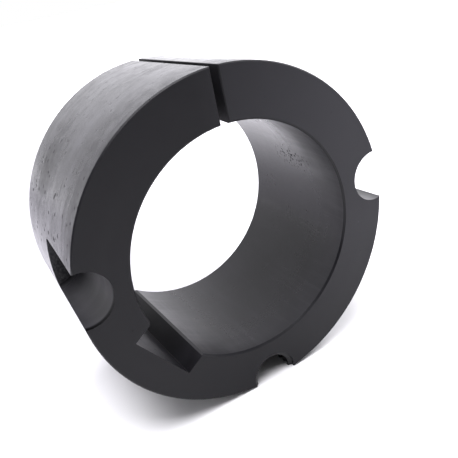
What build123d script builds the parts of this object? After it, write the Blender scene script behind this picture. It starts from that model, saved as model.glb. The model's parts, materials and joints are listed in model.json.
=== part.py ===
"""Split taper bush with a keyed bore, 8 degrees of included taper.

The bush is one casting, turned outside and inside, slit through its wall on one side.
It is clamped by two set screws in half-holes that it shares with the hub it fits, and
pushed free again by one of them in a third, tapped half-hole.

Frame: the bore runs along Y and the large end face lies on y = 0, facing -Y. The origin is
the bore's centre on that face. The slit points to +Z and the removal hole to -Z.
"""

import os
from math import cos, radians, sin, tan

from build123d import *

# Driving dimensions, in millimetres and degrees

bush_length = 44.45  # from end face to end face
bore_diameter = 60.0
wall_at_large_end = 12.85  # makes the large end 85.7 across
taper_half_angle = 4.0
rim_break = 0.3  # edge break round both rims
bore_lead_front = 0.5  # chamfer of the bore at the large end
bore_lead_back = 1.0  # chamfer of the bore at the small end

slit_width = 2.0
slit_break = 0.25  # edge break of the slit's lips on the large end face

screw_inset = 1.575  # from the large-end rim in to the screw axes
install_hole_diameter = 13.7
install_hole_depth = 24.0
install_floor_radius = 1.0
install_hole_angle = 95.0  # either side of the removal hole
removal_hole_diameter = 12.7  # major diameter of its thread

keyway_width = 18.0
keyway_depth = 4.4  # from the bore to the keyway's floor, on its centre line
keyway_angle = 56.0  # from the removal hole, towards -X
keyway_break = 0.5  # edge break where the keyway opens into the bore

# Sizes that follow from them

bore_radius = bore_diameter / 2
large_end_radius = bore_radius + wall_at_large_end
small_end_radius = large_end_radius - bush_length * tan(radians(taper_half_angle))
screw_circle_radius = large_end_radius - screw_inset
keyway_floor = bore_radius + keyway_depth

removal_direction = -90.0  # in the XZ plane, from +X towards +Z
keyway_direction = removal_direction - keyway_angle
install_directions = (
    removal_direction + install_hole_angle,
    removal_direction - install_hole_angle,
)

# The large end face's plane: its local y is +Z, and the bush lies behind it

face_plane = Plane.XZ


def place(radius, direction):
    """The point of the large end face at this radius, in this direction."""
    return (radius * cos(radians(direction)), 0, radius * sin(radians(direction)))


# Cutter for one blind install hole, as if its axis were the bore's

with BuildPart() as install_cutter:
    with BuildSketch(face_plane):
        Circle(install_hole_diameter / 2)
    extrude(amount=-install_hole_depth)
    fillet(install_cutter.faces().sort_by(Axis.Y)[-1].edges(), install_floor_radius)

# The bush

with BuildPart() as bush:
    # Half of the ring's section, turned round the bore
    with BuildSketch(Plane.XY) as section:
        with BuildLine():
            Polyline(
                (bore_radius, 0),
                (large_end_radius, 0),
                (small_end_radius, bush_length),
                (bore_radius, bush_length),
                close=True,
            )
        make_face()
        chamfer(section.vertices().group_by(Axis.X)[-1], rim_break)
        chamfer(section.vertices().group_by(Axis.Y)[-1].sort_by(Axis.X)[-1], rim_break)
        chamfer(section.vertices().group_by(Axis.Y)[0].sort_by(Axis.X)[0], bore_lead_front)
        chamfer(section.vertices().group_by(Axis.Y)[-1].sort_by(Axis.X)[0], bore_lead_back)
    revolve(axis=Axis.Y)

    # Slit through the wall, with both lips broken on the large end face
    with BuildSketch(face_plane):
        Rectangle(slit_width, large_end_radius, align=(Align.CENTER, Align.MIN))
    extrude(amount=-bush_length, mode=Mode.SUBTRACT)
    lips = bush.faces().sort_by(Axis.Y)[0].edges().filter_by(Axis.Z)
    chamfer(lips, slit_break)

    # Keyway, square to the bore's radius
    with BuildSketch(face_plane):
        Rectangle(
            keyway_width,
            keyway_floor,
            rotation=keyway_direction - 90,
            align=(Align.CENTER, Align.MIN),
        )
    extrude(amount=-bush_length, mode=Mode.SUBTRACT)
    keyway_mouth = place(bore_radius, keyway_direction)
    keyway_lips = bush.edges().filter_by(Axis.Y).sort_by_distance(keyway_mouth)[:2]
    chamfer(keyway_lips, keyway_break)

    # Blind half-holes that take the set screws' plain side
    with Locations(*[place(screw_circle_radius, d) for d in install_directions]):
        add(install_cutter.part, mode=Mode.SUBTRACT)

    # Tapped half-hole that forces the bush out of its hub, from face to face
    with BuildSketch(face_plane):
        with Locations((0, -screw_circle_radius)):
            Circle(removal_hole_diameter / 2)
    extrude(amount=-bush_length, mode=Mode.SUBTRACT)

os.makedirs("parts", exist_ok=True)
bush.part.label = "bush"
export_step(bush.part, "parts/bush.step")
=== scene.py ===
"""Looks of the split taper bush, standing on the lips of its removal half-hole.

Black-phosphated cast iron, turned outside and on its ends and bored inside, on a pale
studio floor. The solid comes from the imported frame; this script adds the thread of the
removal half-hole, the finishes, the floor, the lights and the camera. Metres throughout.
The bush's axis is y, with its large end at 0, and its slit is at the top.
"""

import json
import math
from functools import cached_property

import bpy
from mathutils import Euler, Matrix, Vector


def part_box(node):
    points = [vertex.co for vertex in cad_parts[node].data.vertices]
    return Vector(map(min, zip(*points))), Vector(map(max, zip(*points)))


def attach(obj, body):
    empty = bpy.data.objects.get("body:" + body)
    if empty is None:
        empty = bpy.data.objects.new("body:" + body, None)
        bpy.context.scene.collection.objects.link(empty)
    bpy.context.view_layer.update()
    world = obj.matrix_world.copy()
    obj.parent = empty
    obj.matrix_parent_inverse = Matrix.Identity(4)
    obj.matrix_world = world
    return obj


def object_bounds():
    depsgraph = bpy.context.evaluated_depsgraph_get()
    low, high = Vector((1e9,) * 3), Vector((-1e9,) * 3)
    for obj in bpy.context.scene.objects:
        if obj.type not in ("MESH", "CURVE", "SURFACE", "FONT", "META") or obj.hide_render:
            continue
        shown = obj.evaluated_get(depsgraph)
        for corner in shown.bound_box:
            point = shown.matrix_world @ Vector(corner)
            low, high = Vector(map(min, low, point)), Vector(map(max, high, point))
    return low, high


MM = 0.001

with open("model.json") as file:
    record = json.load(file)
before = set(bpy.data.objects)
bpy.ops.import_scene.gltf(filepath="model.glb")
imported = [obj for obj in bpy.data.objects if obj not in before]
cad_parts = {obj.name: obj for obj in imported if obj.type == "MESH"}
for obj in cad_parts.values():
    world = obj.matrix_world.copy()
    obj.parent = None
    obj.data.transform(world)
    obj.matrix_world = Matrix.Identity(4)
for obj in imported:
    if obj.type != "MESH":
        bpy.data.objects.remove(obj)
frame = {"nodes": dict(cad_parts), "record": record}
cad_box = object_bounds()

# ---------------------------------------------------------------- sizes

bush = frame["nodes"]["bush"]
mounts = {mount["name"]: mount for mount in frame["record"]["mounts"]}
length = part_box("bush")[1].y
bore_radius = mounts["shaft_bore"]["dims"]["r_mm"] * MM
removal_axis = Vector(mounts["removal_half_hole"]["pos_m"])
right_axis = Vector(mounts["install_half_hole_right"]["pos_m"])
left_axis = Vector(mounts["install_half_hole_left"]["pos_m"])
keyway_middle = Vector(mounts["keyway"]["pos_m"])
keyway_outward = Vector((keyway_middle.x, 0, keyway_middle.z)).normalized()
install_radius = 6.85 * MM
slit_half_width = 1.0 * MM
keyway_half_width = 9.0 * MM

fit = 0.06 * MM  # how near a face lies to the surface that it belongs to
taper = math.tan(math.radians(4))
rim_break = 0.3 * MM  # depth of the broken edge at the large end
rim_points = [vertex.co for vertex in bush.data.vertices if vertex.co.y < rim_break + fit]
large_end_radius = max(math.hypot(p.x, p.z) for p in rim_points) + rim_break * taper

# What tells the regions of the mesh apart
facing_along = 0.999  # least y of the normal of an end face or a half-hole's floor
facing_across = 0.99  # least x of the normal of the slit's walls
keyway_tilt = 0.01  # most y of the normal of the keyway's walls
keyway_inner = 0.9 * bore_radius  # the keyway's walls lie farther out than this
fillet_tilt = 0.05  # least y of the normal in the fillets round the half-holes' floors
fillet_depth = 3.0 * MM  # those fillets lie deeper than this
install_reach = 1.1 * MM  # how far from its radius a clamping half-hole's wall may lie
keyway_lip = 1.5 * MM  # how far the broken edge at the keyway reaches sideways
bore_lip = 1.2 * MM  # how far the bore's chamfer reaches out and in

# Thread of the removal half-hole: half-inch coarse, right-handed
thread_major = 6.35 * MM
thread_minor = 5.25 * MM
thread_pitch = 25.4 * MM / 12
thread_root_width = 1.764 * MM
thread_crest_width = 0.619 * MM
thread_start = 1.2 * MM  # depth of the first crest at the middle of the arc
thread_sunk = 0.05 * MM  # how deep a ridge's foot sits in the wall
thread_inset = 0.02 * MM  # how far a ridge stays inside the ends and the taper
thread_steps = 40
thread_sharp = math.radians(25)
settling_rounds = 4  # the depth, radius and angle of a point depend on one another

floor_level = -42.41 * MM  # under the large end
floor_half = 0.6  # half of the floor's side


def cone_radius(depth):
    """Radius of the tapered outside at this depth behind the large end."""
    return large_end_radius - depth * taper


def placed(name, data):
    """A new object in the scene with this mesh, light or camera."""
    piece = bpy.data.objects.new(name, data)
    bpy.context.scene.collection.objects.link(piece)
    return piece


# ---------------------------------------------------------------- thread


def arc_limit(radius, depth):
    """Half the angle over which a ridge of this radius lies in the bush and above its lips."""
    offset = -removal_axis.z
    outside = cone_radius(depth) - thread_inset
    at_taper = (radius**2 + offset**2 - outside**2) / (2 * offset * radius)
    lips = cad_box[0].z + depth * taper + thread_inset
    at_lips = (lips - removal_axis.z) / radius
    return math.acos(max(-1.0, at_taper, at_lips))


def thread_point(middle, shift, radius, share):
    """A point of one turn: share runs from -1 to 1 over the arc that lies in the bush."""
    angle = 0.0
    depth = middle + shift
    wide = radius
    for _ in range(settling_rounds):
        depth = middle + shift + thread_pitch * angle / (2 * math.pi)
        depth = min(length - thread_inset, max(thread_inset, depth))
        wide = max(radius, thread_major - min(depth, length - depth))
        angle = share * arc_limit(wide, depth)
    return Vector((wide * math.sin(angle), depth, removal_axis.z + wide * math.cos(angle)))


def thread_turn(middle):
    """Points and faces of one closed ridge whose crest crosses the arc's middle at this depth."""
    section = (
        (-thread_root_width / 2, thread_major + thread_sunk),
        (-thread_crest_width / 2, thread_minor),
        (thread_crest_width / 2, thread_minor),
        (thread_root_width / 2, thread_major + thread_sunk),
    )
    corners = len(section)
    verts = []
    for step in range(thread_steps + 1):
        share = 2 * step / thread_steps - 1
        verts += [thread_point(middle, shift, radius, share) for shift, radius in section]
    faces = [tuple(range(corners))]
    for step in range(thread_steps):
        here = corners * step
        there = here + corners
        for side in range(corners):
            after = (side + 1) % corners
            faces.append((here + side, there + side, there + after, here + after))
    faces.append(tuple(reversed(range(len(verts) - corners, len(verts)))))
    return verts, faces


def thread_piece():
    """The ridges of the removal half-hole's thread, one closed ridge a turn."""
    verts = []
    faces = []
    turns = int((length - thread_start) / thread_pitch) + 1
    for turn in range(turns):
        ridge_verts, ridge_faces = thread_turn(thread_start + turn * thread_pitch)
        faces += [tuple(len(verts) + index for index in face) for face in ridge_faces]
        verts += ridge_verts
    mesh = bpy.data.meshes.new("removal_thread")
    mesh.from_pydata(verts, [], faces)
    mesh.validate()
    mesh.polygons.foreach_set("use_smooth", [True] * len(mesh.polygons))
    mesh.set_sharp_from_angle(angle=thread_sharp)
    piece = placed("removal_thread", mesh)
    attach(piece, "root")
    return piece


# ---------------------------------------------------------------- shader helpers


class Nodes:
    """A node tree, emptied first, with short calls for the nodes used here."""

    def __init__(self, tree):
        self.tree = tree
        self.tree.nodes.clear()

    def node(self, kind, inputs=None, **settings):
        """A new node with its settings made and its inputs set or linked."""
        made = self.tree.nodes.new(kind)
        for key, value in settings.items():
            setattr(made, key, value)
        for key, value in (inputs or {}).items():
            if isinstance(value, bpy.types.NodeSocket):
                self.tree.links.new(value, made.inputs[key])
            else:
                made.inputs[key].default_value = value
        return made

    def math(self, operation, first, second=0.0):
        """The result of one arithmetic step on sockets or numbers."""
        made = self.node("ShaderNodeMath", {0: first, 1: second}, operation=operation)
        return made.outputs[0]

    def times(self, product, *factors):
        """The product of sockets or numbers."""
        for factor in factors:
            product = self.math("MULTIPLY", product, factor)
        return product

    def plus(self, total, value, share=None):
        """total with value added to it, or only this share of value."""
        return self.math("ADD", total, value if share is None else self.times(value, share))

    def dot(self, first, second):
        """The cosine of the angle between two unit vectors."""
        made = self.node("ShaderNodeVectorMath", {0: first, 1: second}, operation="DOT_PRODUCT")
        return made.outputs["Value"]

    def remap(self, value, span, onto=(0.0, 1.0), interpolation="LINEAR"):
        """value's span laid onto another span and held at its ends."""
        inputs = {"Value": value, 1: span[0], 2: span[1], 3: onto[0], 4: onto[1]}
        made = self.node("ShaderNodeMapRange", inputs, interpolation_type=interpolation)
        return made.outputs[0]


class Shader(Nodes):
    """A material's nodes. They read only the place on the part, and finish ends them."""

    bevel_samples = 6

    def __init__(self, name):
        self.material = bpy.data.materials.new(name)
        self.material.use_nodes = True
        super().__init__(self.material.node_tree)
        self.output = self.node("ShaderNodeOutputMaterial")
        self.point = self.node("ShaderNodeTexCoord").outputs["Object"]
        split = self.node("ShaderNodeSeparateXYZ", {"Vector": self.point})
        self.x, self.y, self.z = split.outputs

    @cached_property
    def radius(self):
        """Distance from the bush's axis."""
        squares = self.plus(self.math("POWER", self.x, 2), self.math("POWER", self.z, 2))
        return self.math("SQRT", squares)

    @cached_property
    def angle(self):
        """Radians round the bush's axis: 0 at the removal half-hole, positive to the right."""
        return self.math("ARCTAN2", self.x, self.times(self.z, -1))

    def vector(self, x, y, z=0.0):
        """A vector from three sockets or numbers."""
        return self.node("ShaderNodeCombineXYZ", {"X": x, "Y": y, "Z": z}).outputs[0]

    def noise(self, vector, scale, detail=3.0, roughness=0.55):
        """Smooth noise from 0 to 1 at this many features a metre."""
        inputs = {"Vector": vector, "Scale": scale, "Detail": detail, "Roughness": roughness}
        return self.node("ShaderNodeTexNoise", inputs).outputs["Fac"]

    def lines(self, across, along, pitch, stretch, seed=0.0):
        """Noise drawn out into lines: pitch apart in across's unit, and slow along them."""
        vector = self.vector(self.times(across, 1 / pitch), self.times(along, stretch), seed)
        return self.noise(vector, scale=1.0, detail=2.0)

    def spots(self, spacing, size, share, vague=0.0):
        """1 on scattered spots, on this share of the places that lie spacing apart.

        size is a spot's radius as a part of the spacing, and vague is how ragged it is.
        """
        cell = self.node("ShaderNodeTexVoronoi", {"Vector": self.point, "Scale": 1 / spacing})
        waves = 3.5  # of raggedness in one spacing
        ragged = self.times(self.noise(self.point, waves / spacing, detail=2.0), vague)
        usual = 0.5 * vague  # what the raggedness adds on average
        away = self.plus(cell.outputs["Distance"], ragged)
        spot = self.remap(away, (size + usual, 0.5 * size + usual))
        chosen = self.node("ShaderNodeSeparateColor", {"Color": cell.outputs["Color"]}).outputs[0]
        return self.times(spot, self.math("LESS_THAN", chosen, share))

    def patch(self, angle, depth, reach_angle, reach_depth):
        """1 at a place on the round walls and within a fifth of its reach, 0 beyond it."""
        across = self.math("DIVIDE", self.math("SUBTRACT", self.angle, angle), reach_angle)
        along = self.math("DIVIDE", self.math("SUBTRACT", self.y, depth), reach_depth)
        place = self.vector(across, along)
        away = self.node("ShaderNodeVectorMath", {0: place}, operation="LENGTH").outputs["Value"]
        return self.remap(away, (1.0, 0.2))

    def mix(self, share, first, second):
        """A colour between two colours."""
        inputs = {0: share, 6: first, 7: second}
        return self.node("ShaderNodeMix", inputs, data_type="RGBA").outputs[2]

    def layers(self, tone, *coats):
        """tone under coats, each with its share and its colour."""
        for share, color in coats:
            tone = self.mix(share, tone, color)
        return tone

    def rounded(self, reach):
        """The normal with the mesh's sharp edges rounded off over this reach."""
        made = self.node("ShaderNodeBevel", {"Radius": reach}, samples=self.bevel_samples)
        return made.outputs[0]

    def edges(self, reach):
        """1 on sharp edges of the mesh, falling to 0 where the rounded normal is the flat one."""
        flat = self.node("ShaderNodeNewGeometry").outputs["Normal"]
        return self.remap(self.dot(self.rounded(reach), flat), (0.999, 0.90))

    def finish(self, color, roughness, height, depth, ior=1.5, metallic=0.0, round_off=0.0):
        """The material, with colour and roughness sockets and height as bump of this depth."""
        relief = {"Height": height, "Strength": 1.0, "Distance": depth}
        if round_off:
            relief["Normal"] = self.rounded(round_off)
        inputs = {
            "Base Color": color,
            "Roughness": roughness,
            "Normal": self.node("ShaderNodeBump", relief).outputs[0],
            "IOR": ior,
            "Metallic": metallic,
        }
        surface = self.node("ShaderNodeBsdfPrincipled", inputs)
        self.tree.links.new(surface.outputs[0], self.output.inputs["Surface"])
        return self.material


# ---------------------------------------------------------------- finishes

black = (0.0055, 0.0052, 0.0070, 1)
# Also painted shade in the clamping half-holes
soot_and_shade = (0.003, 0.0029, 0.0036, 1)
grey_bloom = (0.025, 0.024, 0.029, 1)
# The rubbed grey also paints light on the end faces
rubbed_and_lit_grey = (0.048, 0.047, 0.055, 1)
bare_iron = (0.11, 0.11, 0.115, 1)
# Also a painted highlight in the right clamping half-hole
pale_dust_and_highlight = (0.26, 0.26, 0.27, 1)

wear_reach = 0.35 * MM  # how far from an edge its wear shows
machined_round = 0.12 * MM  # rounding of machined edges
turned_round = 0.9 * MM  # rounding of the taper's softly broken rims
machined_relief = 0.006 * MM
smooth_relief = 0.004 * MM
floor_relief = 0.01 * MM
broad_pitch = 9  # how much wider the broad tool lines are than the fine ones


def iron(
    name,
    directions,
    pitch,
    stretch,
    rough,
    bloom=0.5,
    wear=0.15,
    ior=1.5,
    cast=0.0,
    round_off=machined_round,
    local=None,
):
    """Phosphated iron with tool lines.

    directions names those across and along the lines; pitch is how far apart they lie,
    and stretch is how fast they change along themselves. bloom, wear and cast are the
    strength of the grey bloom, of the rubbed edges and of a cast grain. local adds what
    only this region has: it takes the nodes and the tone, and returns the new tone and
    how metallic it is.
    """
    made = Shader(name)
    across, along = (getattr(made, direction) for direction in directions)
    fine = made.lines(across, along, pitch, stretch)
    broad = made.lines(across, along, pitch * broad_pitch, stretch, seed=3.7)
    cloud = made.noise(made.point, scale=90, detail=4.0)
    grain = made.noise(made.point, scale=1800)
    speck = made.spots(spacing=2.6 * MM, size=0.13, share=0.25, vague=0.4)
    fluff = made.spots(spacing=5.5 * MM, size=0.07, share=0.25)

    tone = made.layers(
        black,
        (made.remap(cloud, (0.35, 0.75), (0, bloom)), grey_bloom),
        (made.remap(broad, (0.55, 0.75), (0, 0.35 * bloom)), grey_bloom),
    )
    if cast:
        sand = made.noise(made.point, scale=2400, roughness=0.7)
        tone = made.mix(made.remap(sand, (0.40, 0.66), (0, cast)), tone, bare_iron)
    tone = made.layers(tone, (made.times(speck, 0.6), soot_and_shade), (made.times(fluff, 0.4), rubbed_and_lit_grey))
    if wear:
        edge = made.times(made.edges(wear_reach), made.remap(cloud, (0.3, 0.6), (0.4, 1.0)))
        tone = made.mix(made.times(edge, wear), tone, bare_iron)

    roughness = made.remap(cloud, (0.3, 0.7), (rough - 0.05, rough + 0.06))
    roughness = made.plus(roughness, made.remap(broad, (0.3, 0.7), (-0.04, 0.04)))
    roughness = made.plus(roughness, speck, 0.2)

    metallic = 0.0
    if local:
        tone, metallic = local(made, tone)

    height = made.plus(fine, grain, 0.8 + 12 * cast)
    height = made.plus(height, speck, -2.0)
    return made.finish(tone, roughness, height, machined_relief, ior, metallic, round_off)


def face_painted_light_and_shade(made, tone):
    """The end faces: painted light paler to the right, most high up, and painted shade low down.
    """
    # Painted light and shade: the share of the paler grey grows to the right and upwards
    rubbed = made.times(
        made.remap(made.x, (-6 * MM, 34 * MM), (0, 0.45)),
        made.remap(made.z, (-34 * MM, -8 * MM), (0.15, 0.96)),
    )
    painted_light_above = made.times(
        made.remap(made.x, (0, 2 * MM)),
        made.remap(made.z, (0, 20 * MM), (0, 0.11)),
    )
    return made.mix(made.plus(rubbed, painted_light_above), tone, rubbed_and_lit_grey), 0.0


def hole_painted_shade_and_light(made, tone):
    """The clamping half-holes: painted shade at the left one's lower lip and inside the right one.

    The right one has a painted highlight, paler at its mouth. The left lip's painted shade is
    given as metal, since metal of so dark a colour reflects less than the coat of the iron does.
    """
    # Painted shade at the left one's lower lip, given as dark metal
    lip = made.times(
        made.remap(made.y, (0.8 * MM, 1.5 * MM), (1, 0)),
        made.remap(made.z, (left_axis.z + 6 * MM, left_axis.z)),
        made.math("LESS_THAN", made.x, 0.0),
    )
    # Inside the right one: painted shade deeper in and a painted highlight at the mouth
    right = made.remap(made.x, (30 * MM, 35 * MM))
    shade = made.times(right, made.remap(made.y, (1.5 * MM, 6 * MM), (0, 0.7)))
    dust_and_highlight = made.times(
        made.remap(made.y, (0.5 * MM, 4 * MM), (0.13, 0)),
        right,
        made.remap(made.x, (39 * MM, 42 * MM), (1, 0)),
    )
    return made.layers(tone, (lip, soot_and_shade), (shade, soot_and_shade), (dust_and_highlight, pale_dust_and_highlight)), lip


def taper_finish():
    """The turned taper: drawn-out stains, rubbed strokes and flecks, and soft rims."""
    made = Shader("turned_taper")
    fine = made.lines(made.y, made.angle, pitch=0.30 * MM, stretch=2.5)
    drawn = made.lines(made.y, made.angle, pitch=2.4 * MM, stretch=2.2, seed=1.3)
    broad = made.lines(made.y, made.angle, pitch=7.0 * MM, stretch=1.4, seed=5.1)
    scratch = made.lines(made.y, made.angle, pitch=0.75 * MM, stretch=9.0, seed=4.4)
    cloud = made.noise(made.point, scale=85, detail=4.0)
    mottle = made.noise(made.point, scale=300, detail=5.0, roughness=0.7)
    grain = made.noise(made.point, scale=1500)

    # Places of the most flecks, of a smoother skin, of the strokes and of the dark smear
    low_left = made.patch(angle=-1.98, depth=20 * MM, reach_angle=0.45, reach_depth=32 * MM)
    far_left = made.patch(angle=-1.70, depth=30 * MM, reach_angle=0.20, reach_depth=26 * MM)
    near_split = made.patch(angle=-2.98, depth=30 * MM, reach_angle=0.46, reach_depth=26 * MM)
    between = made.patch(angle=-2.24, depth=31 * MM, reach_angle=0.36, reach_depth=11 * MM)

    # Painted shade: darker and rougher over the first 13 mm behind the large end, weakest just
    # left of the slit
    rim_shade = made.times(
        made.remap(made.y, (0, 13 * MM), (1, 0)),
        made.remap(made.angle, (-3.05, -2.5), (0.3, 1)),
    )
    flecks = made.times(
        made.spots(spacing=1.9 * MM, size=0.30, share=0.45, vague=0.5),
        made.remap(mottle, (0.40, 0.50)),
        made.plus(0.25, low_left, 0.75),
    )
    strokes = made.times(made.remap(scratch, (0.55, 0.70)), made.plus(0.1, near_split))
    smear = made.times(between, made.remap(drawn, (0.3, 0.6), (0.3, 0.9)))
    dust_and_highlight = made.times(
        made.remap(grain, (0.56, 0.64)),
        made.remap(cloud, (0.45, 0.65), (0, 0.35)),
    )
    edge = made.times(made.edges(wear_reach), made.remap(cloud, (0.45, 0.6)))

    tone = made.layers(
        black,
        (made.remap(cloud, (0.3, 0.7)), grey_bloom),
        (made.remap(drawn, (0.45, 0.75), (0, 0.8)), rubbed_and_lit_grey),
        (made.remap(broad, (0.35, 0.65), (0, 0.5)), grey_bloom),
        (made.remap(mottle, (0.50, 0.70), (0, 0.6)), rubbed_and_lit_grey),
        (made.times(strokes, 0.25), pale_dust_and_highlight),
        (made.times(smear, 0.8), soot_and_shade),
        (made.times(rim_shade, 0.6), black),
        (made.times(dust_and_highlight, 0.4), pale_dust_and_highlight),
        (flecks, soot_and_shade),
        (made.times(edge, 0.15), bare_iron),
    )

    roughness = made.remap(drawn, (0.3, 0.7), (0.21, 0.12))
    roughness = made.plus(roughness, made.remap(mottle, (0.35, 0.65), (0.08, -0.04)))
    roughness = made.plus(roughness, smear, 0.22)
    roughness = made.plus(roughness, rim_shade, 0.15)
    roughness = made.plus(roughness, low_left, 0.06)
    roughness = made.plus(roughness, strokes, -0.08)
    roughness = made.plus(roughness, made.remap(made.x, (0, 2 * MM), (0, -0.06)))
    roughness = made.plus(roughness, made.remap(made.x, (12 * MM, 24 * MM), (0, 0.20)))
    roughness = made.plus(roughness, far_left, -0.10)
    roughness = made.math("MAXIMUM", roughness, 0.08)
    roughness = made.plus(roughness, flecks, 0.5)

    height = made.plus(fine, grain, 1.2)
    height = made.plus(height, mottle, 2.0)
    height = made.plus(height, flecks, -14.0)
    return made.finish(tone, roughness, height, smooth_relief, ior=1.42, round_off=turned_round)


def bore_finish():
    """The bored wall: even tool lines, faint rubbing along it and a few clusters of small pits."""
    made = Shader("bored_wall")
    fine = made.lines(made.y, made.angle, pitch=0.22 * MM, stretch=1.2)
    drawn = made.lines(made.y, made.angle, pitch=1.6 * MM, stretch=2.0, seed=2.2)
    rubbed = made.lines(made.angle, made.y, pitch=0.045, stretch=60.0, seed=6.5)
    cloud = made.noise(made.point, scale=70, detail=4.0)
    grain = made.noise(made.point, scale=1500)

    # Two rougher places, a place of painted shade where dark metal reflects less, and the main
    # cluster of pits
    low_left = made.patch(angle=-0.62, depth=22 * MM, reach_angle=0.45, reach_depth=40 * MM)
    high_right = made.patch(angle=2.12, depth=2 * MM, reach_angle=0.50, reach_depth=20 * MM)
    painted_shade_place = made.patch(angle=-0.38, depth=8 * MM, reach_angle=0.65, reach_depth=48 * MM)
    cluster = made.patch(angle=1.86, depth=20 * MM, reach_angle=0.16, reach_depth=10 * MM)

    pits = made.times(
        made.spots(spacing=1.0 * MM, size=0.40, share=0.80, vague=0.3),
        made.plus(cluster, made.remap(cloud, (0.66, 0.72), (0, 0.3))),
    )

    tone = made.layers(
        black,
        (made.remap(cloud, (0.3, 0.7), (0, 0.5)), grey_bloom),
        (made.remap(rubbed, (0.5, 0.75), (0, 0.2)), rubbed_and_lit_grey),
        (pits, soot_and_shade),
    )

    roughness = made.remap(cloud, (0.3, 0.7), (0.26, 0.19))
    roughness = made.plus(roughness, made.remap(drawn, (0.3, 0.7), (-0.03, 0.03)))
    roughness = made.plus(roughness, made.remap(rubbed, (0.4, 0.7), (0.02, -0.02)))
    roughness = made.plus(roughness, made.remap(made.y, (0, 18 * MM), (0.12, 0)))
    roughness = made.plus(roughness, low_left, 0.15)
    roughness = made.plus(roughness, high_right, 0.18)
    roughness = made.plus(roughness, pits, 0.6)

    height = made.plus(fine, grain, 0.8)
    height = made.plus(height, pits, -14.0)
    # Painted shade: dark metal at the lower left dims the reflection
    metallic = made.times(painted_shade_place, 0.32)
    return made.finish(
        tone,
        roughness,
        height,
        smooth_relief,
        ior=1.44,
        metallic=metallic,
        round_off=machined_round,
    )


def finishes():
    """Every finish by the name of the region that it covers."""
    return {
        "end_face": iron(
            "turned_face", ("radius", "angle"), pitch=0.28 * MM, stretch=1.2, rough=0.42,
            bloom=0.10, wear=0.05, ior=1.29, local=face_painted_light_and_shade,
        ),
        "taper": taper_finish(),
        "bore": bore_finish(),
        "keyway": iron(
            "broached_keyway", ("z", "y"), pitch=0.30 * MM, stretch=40.0, rough=0.45,
            ior=1.29,
        ),
        "slit": iron(
            "sawn_slit", ("y", "z"), pitch=0.35 * MM, stretch=60.0, rough=0.55,
            bloom=0.1, ior=1.33,
        ),
        "hole": iron(
            "drilled_hole", ("y", "x"), pitch=0.40 * MM, stretch=80.0, rough=0.50,
            bloom=1.0, wear=0.0, ior=1.54, round_off=0.0, local=hole_painted_shade_and_light,
        ),
        "ledge": iron(
            "cast_ledge", ("x", "z"), pitch=0.60 * MM, stretch=1500.0, rough=0.60,
            bloom=1.0, wear=0.05, ior=1.42, cast=0.45,
        ),
        "fillet": iron(
            "ledge_fillet", ("y", "x"), pitch=0.40 * MM, stretch=80.0, rough=0.75,
            bloom=0.6, wear=0.0, ior=1.36,
        ),
        "tapped": iron(
            "tapped_hole", ("y", "x"), pitch=0.50 * MM, stretch=80.0, rough=0.48,
            bloom=0.1, ior=1.36,
        ),
        "edge": iron(
            "broken_edge", ("y", "angle"), pitch=0.30 * MM, stretch=2.0, rough=0.42,
            bloom=0.1, ior=1.29,
        ),
        "bore_rim": iron(
            "bore_rim", ("y", "angle"), pitch=0.30 * MM, stretch=2.0, rough=0.42,
            bloom=0.3, wear=0.0, ior=1.34,
        ),
    }


def region(centre, normal):
    """The region of the bush that a face with this centre and normal belongs to."""
    flat = Vector((centre.x, 0, centre.z))
    inside = min(centre.y, length - centre.y)
    if abs(normal.y) > facing_along:
        return "end_face" if inside < fit else "ledge"
    if abs(flat.length - bore_radius) < fit and normal.dot(flat) < 0:
        return "bore"
    if abs(flat.length - cone_radius(centre.y)) < fit and normal.dot(flat) > 0:
        return "taper"
    in_slit = abs(abs(centre.x) - slit_half_width) < fit and centre.z > 0
    if in_slit and abs(normal.x) > facing_across:
        return "slit"
    if abs((flat - Vector((removal_axis.x, 0, removal_axis.z))).length - thread_major) < fit:
        return "tapped"
    for axis in (right_axis, left_axis):
        away = (flat - Vector((axis.x, 0, axis.z))).length
        if abs(away - install_radius) < install_reach:
            tilted = abs(normal.y) > fillet_tilt
            return "fillet" if tilted and inside > fillet_depth else "hole"
    outward = flat.dot(keyway_outward)
    sideways = (flat - outward * keyway_outward).length
    if outward > keyway_inner and abs(normal.y) < keyway_tilt:
        if sideways < keyway_half_width + fit:
            return "keyway"
        if sideways < keyway_half_width + keyway_lip:
            return "bore"
    if flat.length < bore_radius + bore_lip and inside < bore_lip:
        return "bore_rim"
    return "edge"


def dress(solid, looks):
    """Gives each face of the solid the finish of its region."""
    names = list(looks)
    solid.data.materials.clear()
    for name in names:
        solid.data.materials.append(looks[name])
    for face in solid.data.polygons:
        face.material_index = names.index(region(face.center, face.normal))


# ---------------------------------------------------------------- studio

floor_grey = (0.86, 0.86, 0.86, 1)
floor_pale = (0.89, 0.89, 0.89, 1)
# Painted shadow behind the bush, darkest to the left, and painted light far off
floor_shadow_behind_left = (0.50, 0.49, 0.52, 1)
floor_shadow_behind_right = (0.87, 0.86, 0.89, 1)
floor_far_painted_light = (0.92, 0.92, 0.92, 1)
floor_far_left_painted_light = (0.92, 0.92, 0.90, 1)
lamp_color = (0.968, 0.958, 1.0)
surround_color = (0.965, 0.955, 1.0, 1)
backdrop_color = (1.0, 1.0, 1.0, 1)

# Glows of the surround: where each is brightest, the span of the cosine of the angle from
# there over which it grows, and its strength at the ends of that span
glows = (
    ((0.10, 0.99, 0.00), (-0.30, 0.35), (0.14, 1.04)),
    ((0.28, 0.94, 0.18), (0.88, 1.0), (0.0, 0.54)),
)


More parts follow.
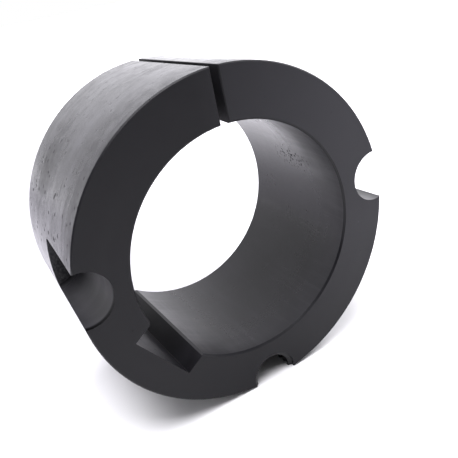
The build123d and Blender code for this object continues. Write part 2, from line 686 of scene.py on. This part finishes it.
def floor_piece():
    """A wide pale floor, tilted as the cone is, so that the bush lies on it along its side."""
    corners = (
        (-floor_half, -floor_half),
        (floor_half, -floor_half),
        (floor_half, floor_half),
        (-floor_half, floor_half),
    )
    mesh = bpy.data.meshes.new("floor")
    verts = [(x, y, floor_level + y * taper) for x, y in corners]
    mesh.from_pydata(verts, [], [tuple(range(len(verts)))])
    piece = placed("floor", mesh)
    made = Shader("pale_floor")
    cloud = made.noise(made.point, scale=14)
    grain = made.noise(made.point, scale=900, detail=2.0)
    rightward = made.remap(made.x, (-15 * MM, 25 * MM))
    tone = made.layers(
        floor_grey,
        (made.remap(cloud, (0.3, 0.7)), floor_pale),
        # Painted shadow on the floor behind the bush, darkest to the left
        (
            made.remap(made.y, (10 * MM, 75 * MM)),
            made.mix(rightward, floor_shadow_behind_left, floor_shadow_behind_right),
        ),
        # Painted light: the floor paler far behind and far to the left
        (made.remap(made.y, (0.28, 0.42)), floor_far_painted_light),
        (made.remap(made.x, (-0.22, -0.40)), floor_far_left_painted_light),
    )
    roughness = made.remap(cloud, (0.3, 0.7), (0.55, 0.65))
    mesh.materials.append(made.finish(tone, roughness, grain, floor_relief))


def softbox(name, place, width, height, power):
    """A rectangular soft light at place that faces the middle of the large end."""
    light = bpy.data.lights.new(name, "AREA")
    light.shape = "RECTANGLE"
    light.size = width
    light.size_y = height
    light.energy = power
    light.color = lamp_color
    piece = placed(name, light)
    piece.location = place
    piece.rotation_euler = (-Vector(place)).to_track_quat("-Z", "Y").to_euler()


def world_light():
    """A surround that is dim on the camera's side and bright behind the bush.

    It is brightest a little to the right. The camera sees a white backdrop in its place.
    """
    world = bpy.data.worlds.new("studio")
    world.use_nodes = True
    made = Nodes(world.node_tree)
    direction = made.node("ShaderNodeTexCoord").outputs["Generated"]
    strength = 0.0
    for toward, span, strengths in glows:
        likeness = made.dot(direction, Vector(toward).normalized())
        strength = made.plus(strength, made.remap(likeness, span, strengths, "SMOOTHSTEP"))
    surround = made.node("ShaderNodeBackground", {"Color": surround_color, "Strength": strength})
    backdrop = made.node("ShaderNodeBackground", {"Color": backdrop_color})
    seen = made.node("ShaderNodeLightPath").outputs["Is Camera Ray"]
    inputs = {0: seen, 1: surround.outputs[0], 2: backdrop.outputs[0]}
    both = made.node("ShaderNodeMixShader", inputs)
    made.node("ShaderNodeOutputWorld", {"Surface": both.outputs[0]})
    bpy.context.scene.world = world


def camera():
    """The camera, at the angle from which the bush is shown."""
    lens = bpy.data.cameras.new("camera")
    lens.lens = 48.616
    lens.sensor_width = 36.0
    lens.shift_x = -0.1560
    lens.shift_y = 0.0883
    lens.clip_start = 0.005
    piece = placed("camera", lens)
    piece.location = (-60.672 * MM, -120.043 * MM, 69.922 * MM)
    turn = [math.radians(degrees) for degrees in (59.0945, 7.6584, -36.2010)]
    piece.rotation_euler = Euler(turn, "XYZ")
    bpy.context.scene.camera = piece


camera()
looks = finishes()
dress(bush, looks)
thread = thread_piece()
thread.data.materials.append(looks["tapped"])
floor_piece()
world_light()
softbox("top", (-0.12, -0.12, 0.85), width=0.74, height=0.48, power=14)
softbox("right", (0.70, 0.35, 0.50), width=0.5, height=0.5, power=8)
softbox("low_right", (0.78, -0.45, 0.10), width=0.4, height=0.3, power=2)
bpy.context.scene.view_settings.view_transform = "Standard"
